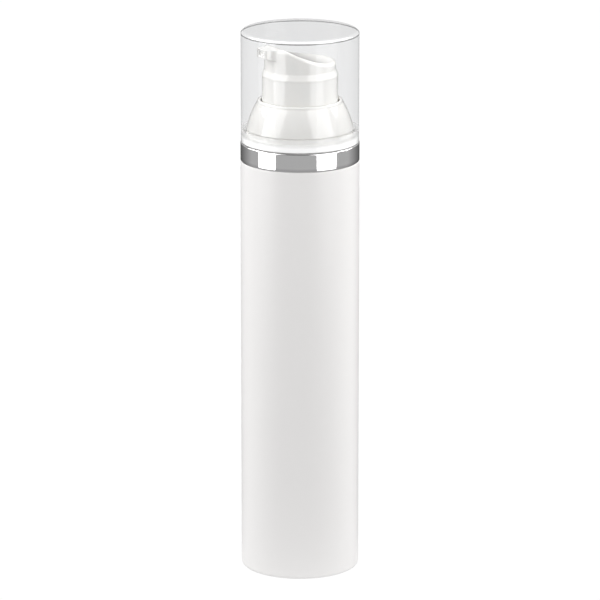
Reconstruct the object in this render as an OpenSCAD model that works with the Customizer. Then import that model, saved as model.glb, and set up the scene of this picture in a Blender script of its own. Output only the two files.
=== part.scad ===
// Airless pump bottle, nominal 100 ml, 36 mm across and 168 mm tall.
// The foot rim stands on z = 0, the bottle's axis is Z and the spout points to -Y.

/* [Bottle] */
// Outer diameter of the bottle
body_d = 36; // [33:0.5:42]
// Height of the barrel, from the foot to the shoulder
body_h = 128; // [90:1:150]
// Wall of the barrel
body_wall = 1.2; // [1:0.1:1.6]
// Rounding of the outer foot edge
foot_round = 1; // [0.5:0.1:1]
// Thickness of the shoulder deck
deck_t = 2; // [1.5:0.1:3]
// Height of the neck above the shoulder
neck_h = 7.5; // [7:0.1:9]
// Wall of the neck
neck_wall = 1.6; // [1.2:0.1:2]

/* [Trim ring and collar] */
// Height of the silver trim ring
ring_h = 5.6; // [5:0.1:8]
// Wall of the trim ring
ring_wall = 2; // [1.6:0.1:2.4]
// Wall of the collar
collar_wall = 1; // [0.8:0.1:1.3]
// Height of the collar's flange above the ring
seat_h = 2.6; // [2:0.1:3.5]
// Height of the snap groove above the flange
groove_h = 1.6; // [1.3:0.1:2]
// Depth of the snap groove under the cap's bore
groove_depth = 0.8; // [0.6:0.05:1]
// Radius of the dome's side arc
dome_arc = 26; // [20:1:60]
// Height of the dome's guide wall around the pump head
guide_wall_h = 2.4; // [2:0.1:3]

/* [Overcap] */
// How far the cap's side stands in from the bottle's side
cap_inset = 0.15; // [0.1:0.05:0.3]
// Wall of the cap
cap_wall = 1.3; // [1:0.1:1.6]
// Thickness of the cap's top
cap_top_t = 1.4; // [1:0.1:2]
// Width of the sloping top edge
cap_edge_w = 1.4; // [0.8:0.1:2]
// Drop of the sloping top edge
cap_edge_h = 0.8; // [0.5:0.1:1]
// Rounding inside the cap under its top
cap_inner_round = 1.2; // [0.5:0.1:2]
// Room between the spout's top and the cap's top
cap_headroom = 3.2; // [2:0.1:6]

/* [Pump head] */
// Diameter of the head's skirt
skirt_d = 22.9; // [21:0.1:24]
// How far the skirt stands out from the head above the flare
flare_w = 0.65; // [0.4:0.05:1]
// Wall of the head
head_wall = 1.1; // [0.9:0.1:1.3]
// Height of the flare
flare_h = 2.2; // [1.5:0.1:3]
// Height of the finger rest's low point above the flare's foot
pad_h = 4.6; // [4:0.1:6]
// Height of the spout's top above the flare's foot
spout_top_h = 9.4; // [9:0.1:11]
// Radius of the finger rest's hollow
scoop_r = 30; // [25:1:40]
// How far behind the axis the hollow is lowest
scoop_back = 8; // [6:0.5:10]
// Rounding where the hollow meets the spout's top
crest_round = 2; // [1:0.1:3]
// Reach of the spout from the axis
spout_reach = 13.6; // [12.5:0.1:15]
// Width of the spout
spout_w = 5.2; // [4.8:0.1:6]
// Height of the spout's end
spout_h = 2.7; // [2.6:0.1:3.2]
// Width of the outlet slot
outlet_w = 3; // [2.4:0.1:3.2]
// Height of the outlet slot
outlet_h = 1.3; // [1:0.1:1.4]

/* [Pump] */
// Stroke of the pump head
stroke = 5.5; // [4:0.1:6.5]
// Bore of the pump barrel
pump_bore = 11; // [10.6:0.1:12]
// Wall of the pump barrel
pump_wall = 1; // [0.8:0.1:1.3]
// Diameter of the stem
stem_d = 6.4; // [6:0.1:6.6]
// Bore of the stem
stem_bore = 3.6; // [3:0.1:4]
// How far the piston slips on the stem to open the outlet
slip = 0.8; // [0.5:0.1:1.2]
// Height of the pump piston
piston_h = 5; // [4:0.1:6]
// Diameter of the inlet ball
ball_d = 3.2; // [2.8:0.1:3.6]
// Lift of the inlet ball
ball_lift = 1; // [0.6:0.1:1.4]

/* [Return spring] */
// Diameter of the wire
wire_d = 0.8; // [0.6:0.05:0.9]
// Number of turns
spring_turns = 7.5; // [6:0.5:8]
// Share by which the end turns lie closer than the mean
end_close = 0.25; // [0:0.05:0.3]

/* [Follower and base] */
// Height of the follower piston
follower_h = 13; // [10:0.5:20]
// Wall of the follower piston
follower_wall = 1.2; // [1:0.1:1.5]
// Height of each wiping lip
lip_h = 1.2; // [1:0.1:2]
// How far the base disc stands up from the foot
base_recess = 1; // [0.6:0.1:2]
// Thickness of the base disc
base_t = 1.4; // [1:0.1:2]
// Height of the base plug's rim
base_rim_h = 4.2; // [3.6:0.1:6]
// Diameter of the air hole in the base
vent_d = 2.5; // [1:0.1:4]

/* [Fits] */
// Radial gap of pieces pressed or snapped together
fit = 0.05; // [0.03:0.01:0.08]
// Radial gap of pieces that slide on each other
slide_gap = 0.08; // [0.05:0.01:0.1]
// Radial gap between the pump head and the collar
head_gap = 0.35; // [0.3:0.05:0.5]
// Gap left between pieces that only come near each other
near_gap = 0.3; // [0.25:0.05:0.4]

/* [Hidden] */
$fn = 96;
eps = 0.01;

// Radii from the bottle's side inwards
body_r = body_d / 2;
foot_r = min(foot_round, body_wall - 0.2);
bore_r = body_r - body_wall;
ring_in_r = body_r - ring_wall;
skirt_out_r = ring_in_r - fit;
skirt_in_r = skirt_out_r - collar_wall;
closure_r = skirt_in_r - fit;
closure_wall = 1;
bead = 0.5;
neck_r = closure_r - closure_wall - bead;
bead_r = neck_r + bead - fit;
neck_bore_r = neck_r - neck_wall;

// Collar hook, closure and neck bead, from the shoulder up
edge = 0.25;
hook_w = 0.6;
hook_t = 0.9;
hook_z = body_h + near_gap;
closure_play = 0.2;
closure_z = hook_z + hook_t + closure_play;
bead_z = body_h + 4;
bead_t = 1.2;
bead_play = 0.4;

// Heights from the shoulder up
ring_top = body_h + ring_h;
seat_top = ring_top + seat_h;
dome_foot = seat_top + groove_h;
neck_top = body_h + neck_h;
gasket_t = 1;
flange_t = 1.2;
closure_t = 1.2;
flange_z = neck_top + gasket_t;
flange_top = flange_z + flange_t;
closure_top = flange_top + closure_t;
press_clear = 0.4;
skirt_z = closure_top + stroke + press_clear;
skirt_cover = 2;
dome_top = skirt_z + skirt_cover;
flare_clear = 1.7;
flare_z = dome_top + stroke + flare_clear;

// Pump head
skirt_r = skirt_d / 2;
head_r = skirt_r - flare_w;
crest_r = skirt_r + 0.05;
crest_h = 0.5;
pad_z = flare_z + pad_h;
spout_z = flare_z + spout_top_h;
spout_under = 0.9;
spout_low = spout_z - spout_h - spout_under;
scoop_z = pad_z + scoop_r;
crest_bite = 0.05;
crest_z = spout_z - crest_round + crest_bite;
crest_u = -scoop_back + sqrt(pow(scoop_r + crest_round - crest_bite, 2) - pow(scoop_z - crest_z, 2));
outlet_z = spout_z - spout_h / 2;
insert_rim = 0.4;
insert_len = 2.6;
insert_set = 0.15;
insert_wall = 0.8;
insert_w = outlet_w + 2 * insert_rim;
insert_h = outlet_h + 2 * insert_rim;
spout_corner = 0.8;
boss_depth = 3.2;
boss_h = 2.2;

// Overcap and collar seat
cap_r = body_r - cap_inset;
cap_in_r = cap_r - cap_wall;
cap_z = ring_top + near_gap;
cap_top = spout_z + cap_headroom + cap_top_t;
cap_fillet = (pow(cap_edge_w, 2) + pow(cap_edge_h, 2)) / (2 * cap_edge_h);
cap_gap = 0.1;
seat_r = cap_in_r - cap_gap;
groove_r = cap_in_r - groove_depth;
dome_inset = 0.35;
dome_r = cap_in_r - dome_inset;
snap_r = 0.6;
snap_z = seat_top + groove_h / 2;
opening_r = skirt_r + head_gap;
lip_r = 0.55;
dome_top_r = opening_r + 2 * lip_r;
dome_t = 1.2;

// Dome arc through its foot and the edge of its opening
arc_foot = [dome_r, dome_foot];
arc_head = [dome_top_r - 0.1, dome_top - lip_r];
arc_mid = (arc_foot + arc_head) / 2;
arc_half = norm(arc_head - arc_foot) / 2;
arc_dir = (arc_head - arc_foot) / (2 * arc_half);
arc_back = sqrt(pow(dome_arc, 2) - pow(arc_half, 2));
arc_centre = arc_mid + arc_back * [-arc_dir[1], arc_dir[0]];

// Top edge of the closure, clear of the dome's inner side
closure_top_r = arc_centre[0] - near_gap
    + sqrt(pow(dome_arc - dome_t, 2) - pow(closure_top - arc_centre[1], 2));

// Pump barrel, stem and piston, from the closure down
pump_r = pump_bore / 2;
barrel_r = pump_r + pump_wall;
plug_len = 4.5;
plug_wall = 1;
stem_r = stem_d / 2;
stem_bore_r = stem_bore / 2;
guide_depth = 3.5;
guide_stop = 2;
guide_z = flange_top - guide_depth;
guide_flange_t = 1;
guide_lap = 1.4;
guide_r = barrel_r + guide_lap;
spring_cup_wall = 1;
spring_cup_r = pump_r - spring_cup_wall;
shoulder_t = 1.3;
shoulder_w = 1.1;
shoulder_r = stem_r + shoulder_w;
stop_play = 0.2;
shoulder_top = guide_z - stop_play;
shoulder_z = shoulder_top - shoulder_t;
piston_top = shoulder_z - slip - fit;
piston_z = piston_top - piston_h;
piston_wall = 0.65;
piston_sleeve = 0.8;
piston_relief = 0.25;
piston_lip_h = 0.8;
piston_web_t = 1;
piston_web_z = piston_z + 2;
piston_in_r = pump_r - piston_relief - piston_wall;
seat_lap = 0.6;
plug_top = piston_z + seat_lap - fit;
plug_t = 1.2;
plug_z = plug_top - plug_t;
plug_r = stem_r + 1;
shank_h = 2.1;
stem_z = plug_top + shank_h;
shank_r = stem_bore_r + 0.2;
pin_len = 3.9;
flute_z = plug_top + 0.5;
flute_w = 1.1;
flute_root = 0.9;

// Inlet valve under the piston's lowest place
ball_r = ball_d / 2;
cage_top = plug_z - stroke - near_gap;
cage_roof_t = 0.6;
seat_hole_r = 1;
seat_cone_r = ball_r + 0.5;
ball_rest = ball_r * sqrt(2) - seat_cone_r + fit;
cage_pocket = ball_rest + ball_r + ball_lift + fit;
floor_z = cage_top - cage_roof_t - cage_pocket;
floor_t = 1.8;
pump_bottom = floor_z - floor_t;
ball_z = floor_z + ball_rest;
pocket_r = ball_r + near_gap;
cage_wall = 0.9;
cage_foot_t = 1;
port_r = 0.7;
port_z = floor_z + 1.4;

// Head core on the stem
socket_rise = 5.4;
socket_h = 4.3;
socket_wall = 1.2;
core_z = skirt_z + socket_rise;
stem_top = core_z + socket_h;
core_r = stem_r + socket_wall;
duct_bore_r = 0.9;
elbow_z = stem_top + duct_bore_r + fit;
core_bore_top = elbow_z + duct_bore_r + fit;
core_roof = 1.2;
core_top = core_bore_top + core_roof;
core_disc_t = 1.2;
core_disc_r = skirt_r - head_wall - fit;
core_disc_z = flare_z - core_disc_t;
air_hole_r = 1.5;

// Duct from the elbow over the stem up to the spout
duct_r = 1.45;
duct_tilt = 50;
duct_u = head_r - 1.2;
duct_z = outlet_z - 0.5;
duct_len = (duct_z - elbow_z) / sin(duct_tilt);
elbow_u = duct_u - (duct_z - elbow_z) / tan(duct_tilt);
elbow_lap = 0.3;

// Return spring between the guide's stop and the core
spring_r = (stem_r + spring_cup_r) / 2 + fit;
spring_z = guide_z + guide_stop + wire_d / 2;
spring_h = core_z - wire_d / 2 - spring_z;
spring_rings = 8;
spring_sides = 6;

// Base plug and follower
base_r = bore_r - fit;
base_top = base_recess + base_rim_h;
base_wall = 1.1;
base_bead = 0.25;
base_bead_h = 0.8;
base_bead_z = base_top - 1.8;
roof_z = body_h - deck_t;
follower_z = base_top + near_gap;
lip_out_r = bore_r - fit;
lip_w = 0.55;
lip_bevel = 0.2;
waist_r = lip_out_r - lip_w;
well_gap = 1.4;
well_r = barrel_r + well_gap;
well_wall_r = well_r + follower_wall;
deck_top = follower_z + follower_h - lip_bevel;
well_floor = follower_z + lip_bevel;
follower_rise = min(roof_z - near_gap - follower_z - follower_h,
    pump_bottom - near_gap - well_floor - follower_wall);

// Section of a plain ring or tube between two radii and two heights
module band(r_in, r_out, z_low, z_high) {
    translate([r_in, z_low])
        square([r_out - r_in, z_high - z_low]);
}

// Band whose outer corners are cut by a small bevel
module bevelled_band(r_in, r_out, z_low, z_high, cut) {
    polygon([[r_in, z_low], [r_out - cut, z_low], [r_out, z_low + cut],
        [r_out, z_high - cut], [r_out - cut, z_high], [r_in, z_high]]);
}

// Slot outline with round ends, centred
module slot(w, h) {
    square([w - h, h], center = true);
    for (s = [-1, 1])
        translate([s * (w - h) / 2, 0])
            circle(d = h);
}

// Lays a side outline, drawn as distance to the front and height, across the spout's plane
module across(w) {
    rotate([90, 0, -90])
        linear_extrude(w, center = true)
            children();
}

// Lays an end outline, drawn as width and height, along the spout from one reach to another
module along(from, to) {
    translate([0, -from, 0])
        rotate([90, 0, 0])
            linear_extrude(to - from)
                children();
}

// Outer section of the cap with its sloping top edge
module cap_section(r, z_low, z_high) {
    band(0, r, z_low, z_high - cap_edge_h);
    band(0, r - cap_edge_w, z_low, z_high);
    intersection() {
        translate([r - cap_edge_w, z_high - cap_fillet])
            circle(cap_fillet);
        band(r - cap_edge_w - eps, r, z_high - cap_edge_h - eps, z_high);
    }
}

module overcap() {
    color([0.93, 0.95, 0.96, 0.35])
        rotate_extrude() {
            difference() {
                cap_section(cap_r, cap_z, cap_top);
                band(-eps, cap_in_r, cap_z - 1, cap_top - cap_top_t - cap_inner_round);
                band(-eps, cap_in_r - cap_inner_round, cap_z - 1, cap_top - cap_top_t);
                translate([cap_in_r - cap_inner_round, cap_top - cap_top_t - cap_inner_round])
                    circle(cap_inner_round);
            }
            // Inner bead that snaps into the collar's groove
            intersection() {
                translate([dome_r + fit + snap_r, snap_z])
                    circle(snap_r);
                band(dome_r, cap_in_r + cap_wall / 2, snap_z - snap_r, snap_z + snap_r);
            }
        }
}

// Side outline of the head, lowered by a wall for its hollow
module head_side(drop) {
    difference() {
        translate([-skirt_r - 1, 0])
            square([skirt_r + 1 + spout_reach, spout_z - drop]);
        translate([-scoop_back, scoop_z])
            circle(scoop_r + drop, $fn = 240);
        // Corner between the hollow and the top, left round by the crest's circle
        difference() {
            polygon([[crest_u, crest_z], [-scoop_back, scoop_z], [crest_u, scoop_z]]);
            translate([crest_u, crest_z])
                circle(crest_round - drop);
        }
    }
}

// Turned outline of the head from a height up, narrowed by a wall for its hollow
module head_turned(wall, z_low) {
    band(0, skirt_r - wall, z_low, flare_z);
    polygon([[0, flare_z - eps], [crest_r - wall, flare_z - eps], [crest_r - wall, flare_z + crest_h],
        [head_r - wall, flare_z + flare_h], [head_r - wall, spout_z + 1], [0, spout_z + 1]]);
}

module spout_solid() {
    intersection() {
        across(2 * spout_w)
            polygon([[crest_u, spout_low], [head_r - head_wall / 2, spout_low],
                [spout_reach, spout_z - spout_h], [spout_reach, spout_z], [crest_u, spout_z]]);
        translate([0, 0, spout_low])
            linear_extrude(spout_z - spout_low) {
                translate([-spout_w / 2, -spout_reach + spout_corner])
                    square([spout_w, spout_reach - spout_corner]);
                translate([0, -spout_reach + spout_corner])
                    slot(spout_w, 2 * spout_corner);
            }
    }
}

// Cylinder on the axis of the sloping duct, from one distance to another below its upper end
module duct(r, from, to) {
    translate([0, -duct_u, duct_z])
        rotate([90 - duct_tilt, 0, 0])
            translate([0, 0, -to])
                cylinder(r = r, h = to - from);
}

module actuator_head() {
    color("white")
        difference() {
            union() {
                intersection() {
                    rotate_extrude()
                        head_turned(0, skirt_z);
                    across(2 * body_d)
                        head_side(0);
                }
                spout_solid();
            }
            difference() {
                intersection() {
                    rotate_extrude()
                        head_turned(head_wall, skirt_z - 1);
                    across(2 * body_d)
                        head_side(head_wall);
                }
                // Front boss that holds the spout's channel
                translate([-spout_w / 2, -head_r, spout_z - spout_h - boss_h])
                    cube([spout_w, boss_depth, spout_h + boss_h + 1]);
            }
            duct(duct_r + fit, -fit, duct_len);
            along(duct_u - duct_bore_r, spout_reach - insert_len + eps)
                translate([0, outlet_z])
                    circle(duct_bore_r);
            along(spout_reach - insert_len, spout_reach + 1)
                translate([0, outlet_z])
                    slot(insert_w + 2 * fit, insert_h + 2 * fit);
        }
}

module actuator_core() {
    color("gainsboro")
        difference() {
            union() {
                rotate_extrude() {
                    band(0, core_r, core_z, core_top);
                    band(0, core_disc_r, core_disc_z, core_disc_z + core_disc_t);
                }
                duct(duct_r, 0, duct_len + duct_bore_r);
            }
            // Air slots through the disc
            for (a = [30:60:330])
                rotate(a)
                    translate([(core_r + core_disc_r) / 2, 0, core_disc_z - 1])
                        cylinder(r = air_hole_r, h = core_disc_t + 2);
            translate([0, 0, core_z - 1])
                cylinder(r = stem_r + fit, h = stem_top - core_z + 1);
            translate([0, 0, core_z])
                cylinder(r = stem_bore_r, h = core_bore_top - core_z);
            duct(duct_bore_r, -1, duct_len + elbow_lap);
            along(0, elbow_u + elbow_lap)
                translate([0, elbow_z])
                    circle(duct_bore_r);
        }
}

module nozzle_insert() {
    color("whitesmoke")
        difference() {
            along(spout_reach - insert_len, spout_reach - insert_set)
                translate([0, outlet_z])
                    slot(insert_w, insert_h);
            along(spout_reach - insert_len + insert_wall, spout_reach)
                translate([0, outlet_z])
                    slot(outlet_w, outlet_h);
            along(spout_reach - insert_len - 1, spout_reach)
                translate([0, outlet_z])
                    circle(outlet_h / 2 - fit);
        }
}

// Centre line of the spring at a share t of its wire, with end turns drawn closer
function spring_point(t) = [
    spring_r * cos(360 * spring_turns * t),
    spring_r * sin(360 * spring_turns * t),
    spring_z + spring_h * (t - end_close * sin(360 * t) / (2 * PI))];

// One ring of wire points, square to the turn
function spring_ring(t) = [
    for (k = [0:spring_sides - 1])
        let (c = spring_point(t), a = 360 * spring_turns * t, b = 360 * k / spring_sides)
            c + wire_d / 2 * [cos(a) * cos(b), sin(a) * cos(b), sin(b)]];

spring_steps = ceil(spring_turns * spring_rings);
spring_line = [for (i = [0:spring_steps]) spring_point(i / spring_steps)];
spring_gap = min([
    for (i = [0:spring_steps])
        for (j = [i + spring_rings - 2:1:spring_steps])
            norm(spring_line[i] - spring_line[j])]) - wire_d;

module return_spring() {
    points = [for (i = [0:spring_steps]) each spring_ring(i / spring_steps)];
    sides = [
        for (i = [0:spring_steps - 1])
            for (k = [0:spring_sides - 1])
                let (a = i * spring_sides + k, b = i * spring_sides + (k + 1) % spring_sides)
                    each [[a, a + spring_sides, b], [b, a + spring_sides, b + spring_sides]]];
    last = spring_steps * spring_sides;
    ends = [
        for (k = [1:spring_sides - 2])
            each [[0, k, k + 1], [last, last + k + 1, last + k]]];
    color("silver")
        polyhedron(points, concat(sides, ends));
}

module collar_dome() {
    color("white")
        rotate_extrude() {
            // Skirt inside the trim ring, with the hook under the closure
            band(skirt_in_r, skirt_out_r, hook_z, seat_top);
            band(skirt_in_r - hook_w, skirt_out_r, hook_z, hook_z + hook_t);
            band(skirt_in_r, seat_r, ring_top, seat_top);
            band(skirt_in_r, groove_r, seat_top - eps, dome_foot + eps);
            // Dome shell between two arcs
            intersection() {
                difference() {
                    translate(arc_centre)
                        circle(dome_arc, $fn = 240);
                    translate(arc_centre)
                        circle(dome_arc - dome_t, $fn = 240);
                }
                band(opening_r, body_r, dome_foot, arc_head[1]);
            }
            // Guide wall with a rounded top around the pump head
            band(opening_r, dome_top_r, dome_top - guide_wall_h, dome_top - lip_r);
            translate([opening_r + lip_r, dome_top - lip_r])
                circle(lip_r);
        }
}

module trim_ring() {
    color("silver")
        rotate_extrude()
            bevelled_band(ring_in_r, body_r, body_h, ring_top, edge);
}

module snap_closure() {
    color("whitesmoke")
        rotate_extrude() {
            band(neck_r + fit, closure_r, closure_z, bead_z - bead_play);
            polygon([[neck_r + bead, closure_z], [closure_r, closure_z], [closure_r, seat_top],
                [closure_top_r, closure_top], [neck_r + bead, closure_top]]);
            band(guide_r + fit, closure_top_r, flange_top, closure_top);
        }
}

module neck_gasket() {
    color("gainsboro")
        rotate_extrude()
            band(neck_bore_r, neck_r, neck_top, flange_z);
}

module stem_guide() {
    color("whitesmoke")
        rotate_extrude() {
            band(stem_r + slide_gap, pump_r - fit, guide_z, guide_z + guide_stop);
            band(spring_cup_r, pump_r - fit, guide_z, flange_top);
            band(spring_cup_r, guide_r, flange_top, flange_top + guide_flange_t);
        }
}

module pump_stem() {
    color("whitesmoke")
        rotate_extrude() {
            band(stem_bore_r, stem_r, stem_z, stem_top);
            band(stem_bore_r, shoulder_r, shoulder_z, shoulder_top);
        }
}

module stem_plug() {
    color("gainsboro")
        difference() {
            rotate_extrude() {
                band(0, plug_r, plug_z, plug_top);
                band(0, shank_r, plug_z, stem_z);
                band(0, stem_bore_r - fit, plug_z, stem_z + pin_len);
            }
            // Flutes that carry the product past the stem's end
            for (a = [0:90:270])
                rotate(a)
                    translate([flute_root, -flute_w / 2, flute_z])
                        cube([shank_r, flute_w, stem_z + pin_len]);
        }
}

module pump_piston() {
    color("whitesmoke")
        rotate_extrude() {
            band(piston_in_r, piston_in_r + piston_wall, piston_z, piston_top);
            for (z = [piston_z, piston_top - piston_lip_h])
                band(piston_in_r, pump_r - fit, z, z + piston_lip_h);
            band(stem_r + slide_gap, stem_r + piston_sleeve, piston_z + seat_lap, piston_top);
            band(stem_r + slide_gap, piston_in_r + eps, piston_web_z, piston_web_z + piston_web_t);
        }
}

module pump_housing() {
    color("whitesmoke")
        rotate_extrude() {
            band(pump_r, barrel_r, pump_bottom, flange_top);
            band(pump_r, bead_r, flange_z, flange_top);
            band(neck_bore_r - fit - plug_wall, neck_bore_r - fit, flange_z - plug_len, flange_z + eps);
            // Floor with the conical seat of the inlet ball
            difference() {
                band(seat_hole_r, barrel_r, pump_bottom, floor_z);
                polygon([[0, floor_z - seat_cone_r], [seat_cone_r, floor_z], [seat_cone_r, floor_z + 1],
                    [0, floor_z + 1]]);
            }
        }
}

module ball_cage() {
    color("gainsboro")
        difference() {
            rotate_extrude() {
                band(seat_cone_r, pump_r - fit, floor_z, floor_z + cage_foot_t);
                band(pocket_r, pocket_r + cage_wall, floor_z, cage_top);
                band(0, pocket_r + cage_wall, cage_top - cage_roof_t, cage_top);
            }
            for (a = [0:120:240])
                rotate(a)
                    translate([pocket_r, 0, port_z])
                        cylinder(r = port_r, h = cage_top);
        }
}

module inlet_ball() {
    color("silver")
        translate([0, 0, ball_z])
            sphere(r = ball_r);
}

module follower_piston() {
    color("white")
        rotate_extrude() {
            band(waist_r - follower_wall, waist_r, follower_z, follower_z + follower_h);
            for (z = [follower_z, follower_z + follower_h - lip_h])
                polygon([[waist_r - eps, z], [lip_out_r, z + lip_bevel],
                    [lip_out_r, z + lip_h - lip_bevel], [waist_r - eps, z + lip_h]]);
            band(well_r, waist_r - eps, deck_top - follower_wall, deck_top);
            band(well_r, well_wall_r, well_floor, deck_top);
            band(0, well_wall_r, well_floor, well_floor + follower_wall);
        }
}

module base_plug() {
    color("white")
        rotate_extrude() {
            band(vent_d / 2, base_r, base_recess, base_recess + base_t);
            band(base_r - base_wall, base_r, base_recess, base_top);
            band(base_r - base_wall, base_r + base_bead, base_bead_z, base_bead_z + base_bead_h);
        }
}

module bottle_body() {
    color("white")
        rotate_extrude()
            difference() {
                union() {
                    bevelled_band(0, body_r, foot_r + edge, body_h, edge);
                    band(0, body_r, foot_r, foot_r + 3 * edge);
                    band(0, body_r - foot_r, 0, foot_r + 3 * edge);
                    translate([body_r - foot_r, foot_r])
                        circle(foot_r);
                    band(0, neck_r, body_h - edge, neck_top);
                    band(0, bead_r, bead_z, bead_z + bead_t);
                }
                band(-eps, bore_r, -1, roof_z);
                band(-eps, neck_bore_r, -1, neck_top + 1);
                // Groove for the base plug's bead
                band(-eps, bore_r + base_bead, base_bead_z - fit, base_bead_z + base_bead_h + fit);
            }
}

overcap();
actuator_head();
actuator_core();
nozzle_insert();
return_spring();
collar_dome();
trim_ring();
snap_closure();
neck_gasket();
stem_guide();
pump_stem();
stem_plug();
pump_piston();
pump_housing();
ball_cage();
inlet_ball();
follower_piston();
base_plug();
bottle_body();

echo(spring_gap = spring_gap, total_height = cap_top, follower_rise = follower_rise);
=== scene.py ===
"""Looks of the airless pump bottle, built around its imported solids.

The bottle's sizes are millimetres in the frame's own axes: +Z runs up the bottle from its foot, and the
spout points to -Y. A mesh is scaled to metres as it is made. The stage's sizes are metres.
"""

import logging
import math
from dataclasses import dataclass
from enum import Enum
from functools import cache
from typing import Any, Iterator, Mapping, Optional, Sequence, Union

import bpy
import numpy as np
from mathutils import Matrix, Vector


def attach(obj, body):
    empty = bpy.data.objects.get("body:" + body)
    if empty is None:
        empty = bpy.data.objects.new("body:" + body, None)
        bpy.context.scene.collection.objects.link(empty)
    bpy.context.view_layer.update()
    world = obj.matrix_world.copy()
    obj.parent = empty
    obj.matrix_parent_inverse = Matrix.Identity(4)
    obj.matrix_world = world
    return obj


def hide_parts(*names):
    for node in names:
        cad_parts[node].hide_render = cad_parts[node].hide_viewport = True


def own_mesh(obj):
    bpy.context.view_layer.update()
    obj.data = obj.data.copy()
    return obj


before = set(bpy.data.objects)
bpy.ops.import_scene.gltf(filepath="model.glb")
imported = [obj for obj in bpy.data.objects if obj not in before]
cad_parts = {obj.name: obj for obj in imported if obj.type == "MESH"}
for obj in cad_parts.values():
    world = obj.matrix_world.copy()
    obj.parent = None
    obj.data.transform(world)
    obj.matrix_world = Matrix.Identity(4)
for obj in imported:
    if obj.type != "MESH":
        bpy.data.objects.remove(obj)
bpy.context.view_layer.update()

log = logging.getLogger("bottle")
MM = 0.001
EVEN = (1.0, 1.0, 1.0)
Colour = tuple[float, float, float]
Corner = tuple[float, float, float]
Span = tuple[float, float]
Owner = Union[bpy.types.Material, bpy.types.World]


class Body(Enum):
    """The bodies that the new pieces ride on."""

    BOTTLE = "bottle"
    CAP = "cap"
    HEAD = "head"


class Slot(Enum):
    """Names of material slots."""

    CLEAR_CAP = "clear_cap"
    WHITE_GLOSS = "white_gloss"
    WHITE_BODY = "white_body"
    SILVER_RING = "silver_ring"
    STEEL = "spring_steel"


# ---- shader helpers ----


class Value:
    """A shader socket that is used like a number: arithmetic on it adds Math nodes."""

    def __init__(self, graph: "Graph", socket: bpy.types.NodeSocket) -> None:
        """Wraps one output socket of a graph."""
        self.graph = graph
        self.socket = socket

    def __add__(self, other: "Number") -> "Value":
        """self + other."""
        return self.graph.math("ADD", self, other)

    def __radd__(self, other: "Number") -> "Value":
        """other + self."""
        return self.graph.math("ADD", other, self)

    def __sub__(self, other: "Number") -> "Value":
        """self - other."""
        return self.graph.math("SUBTRACT", self, other)

    def __rsub__(self, other: "Number") -> "Value":
        """other - self."""
        return self.graph.math("SUBTRACT", other, self)

    def __mul__(self, other: "Number") -> "Value":
        """self * other."""
        return self.graph.math("MULTIPLY", self, other)

    def __rmul__(self, other: "Number") -> "Value":
        """other * self."""
        return self.graph.math("MULTIPLY", other, self)

    def __truediv__(self, other: "Number") -> "Value":
        """self / other."""
        return self.graph.math("DIVIDE", self, other)

    def __pow__(self, other: "Number") -> "Value":
        """self to the power of other."""
        return self.graph.math("POWER", self, other)

    def clamped(self) -> "Value":
        """self kept between 0 and 1."""
        return self.graph.math("MINIMUM", self.graph.math("MAXIMUM", self, 0.0), 1.0)

    def ramp(self, zero: float, one: float) -> "Value":
        """0 where self is zero, 1 where it is one, straight in between and level beyond."""
        return ((self - zero) / (one - zero)).clamped()


Number = Union[float, Value]


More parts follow.
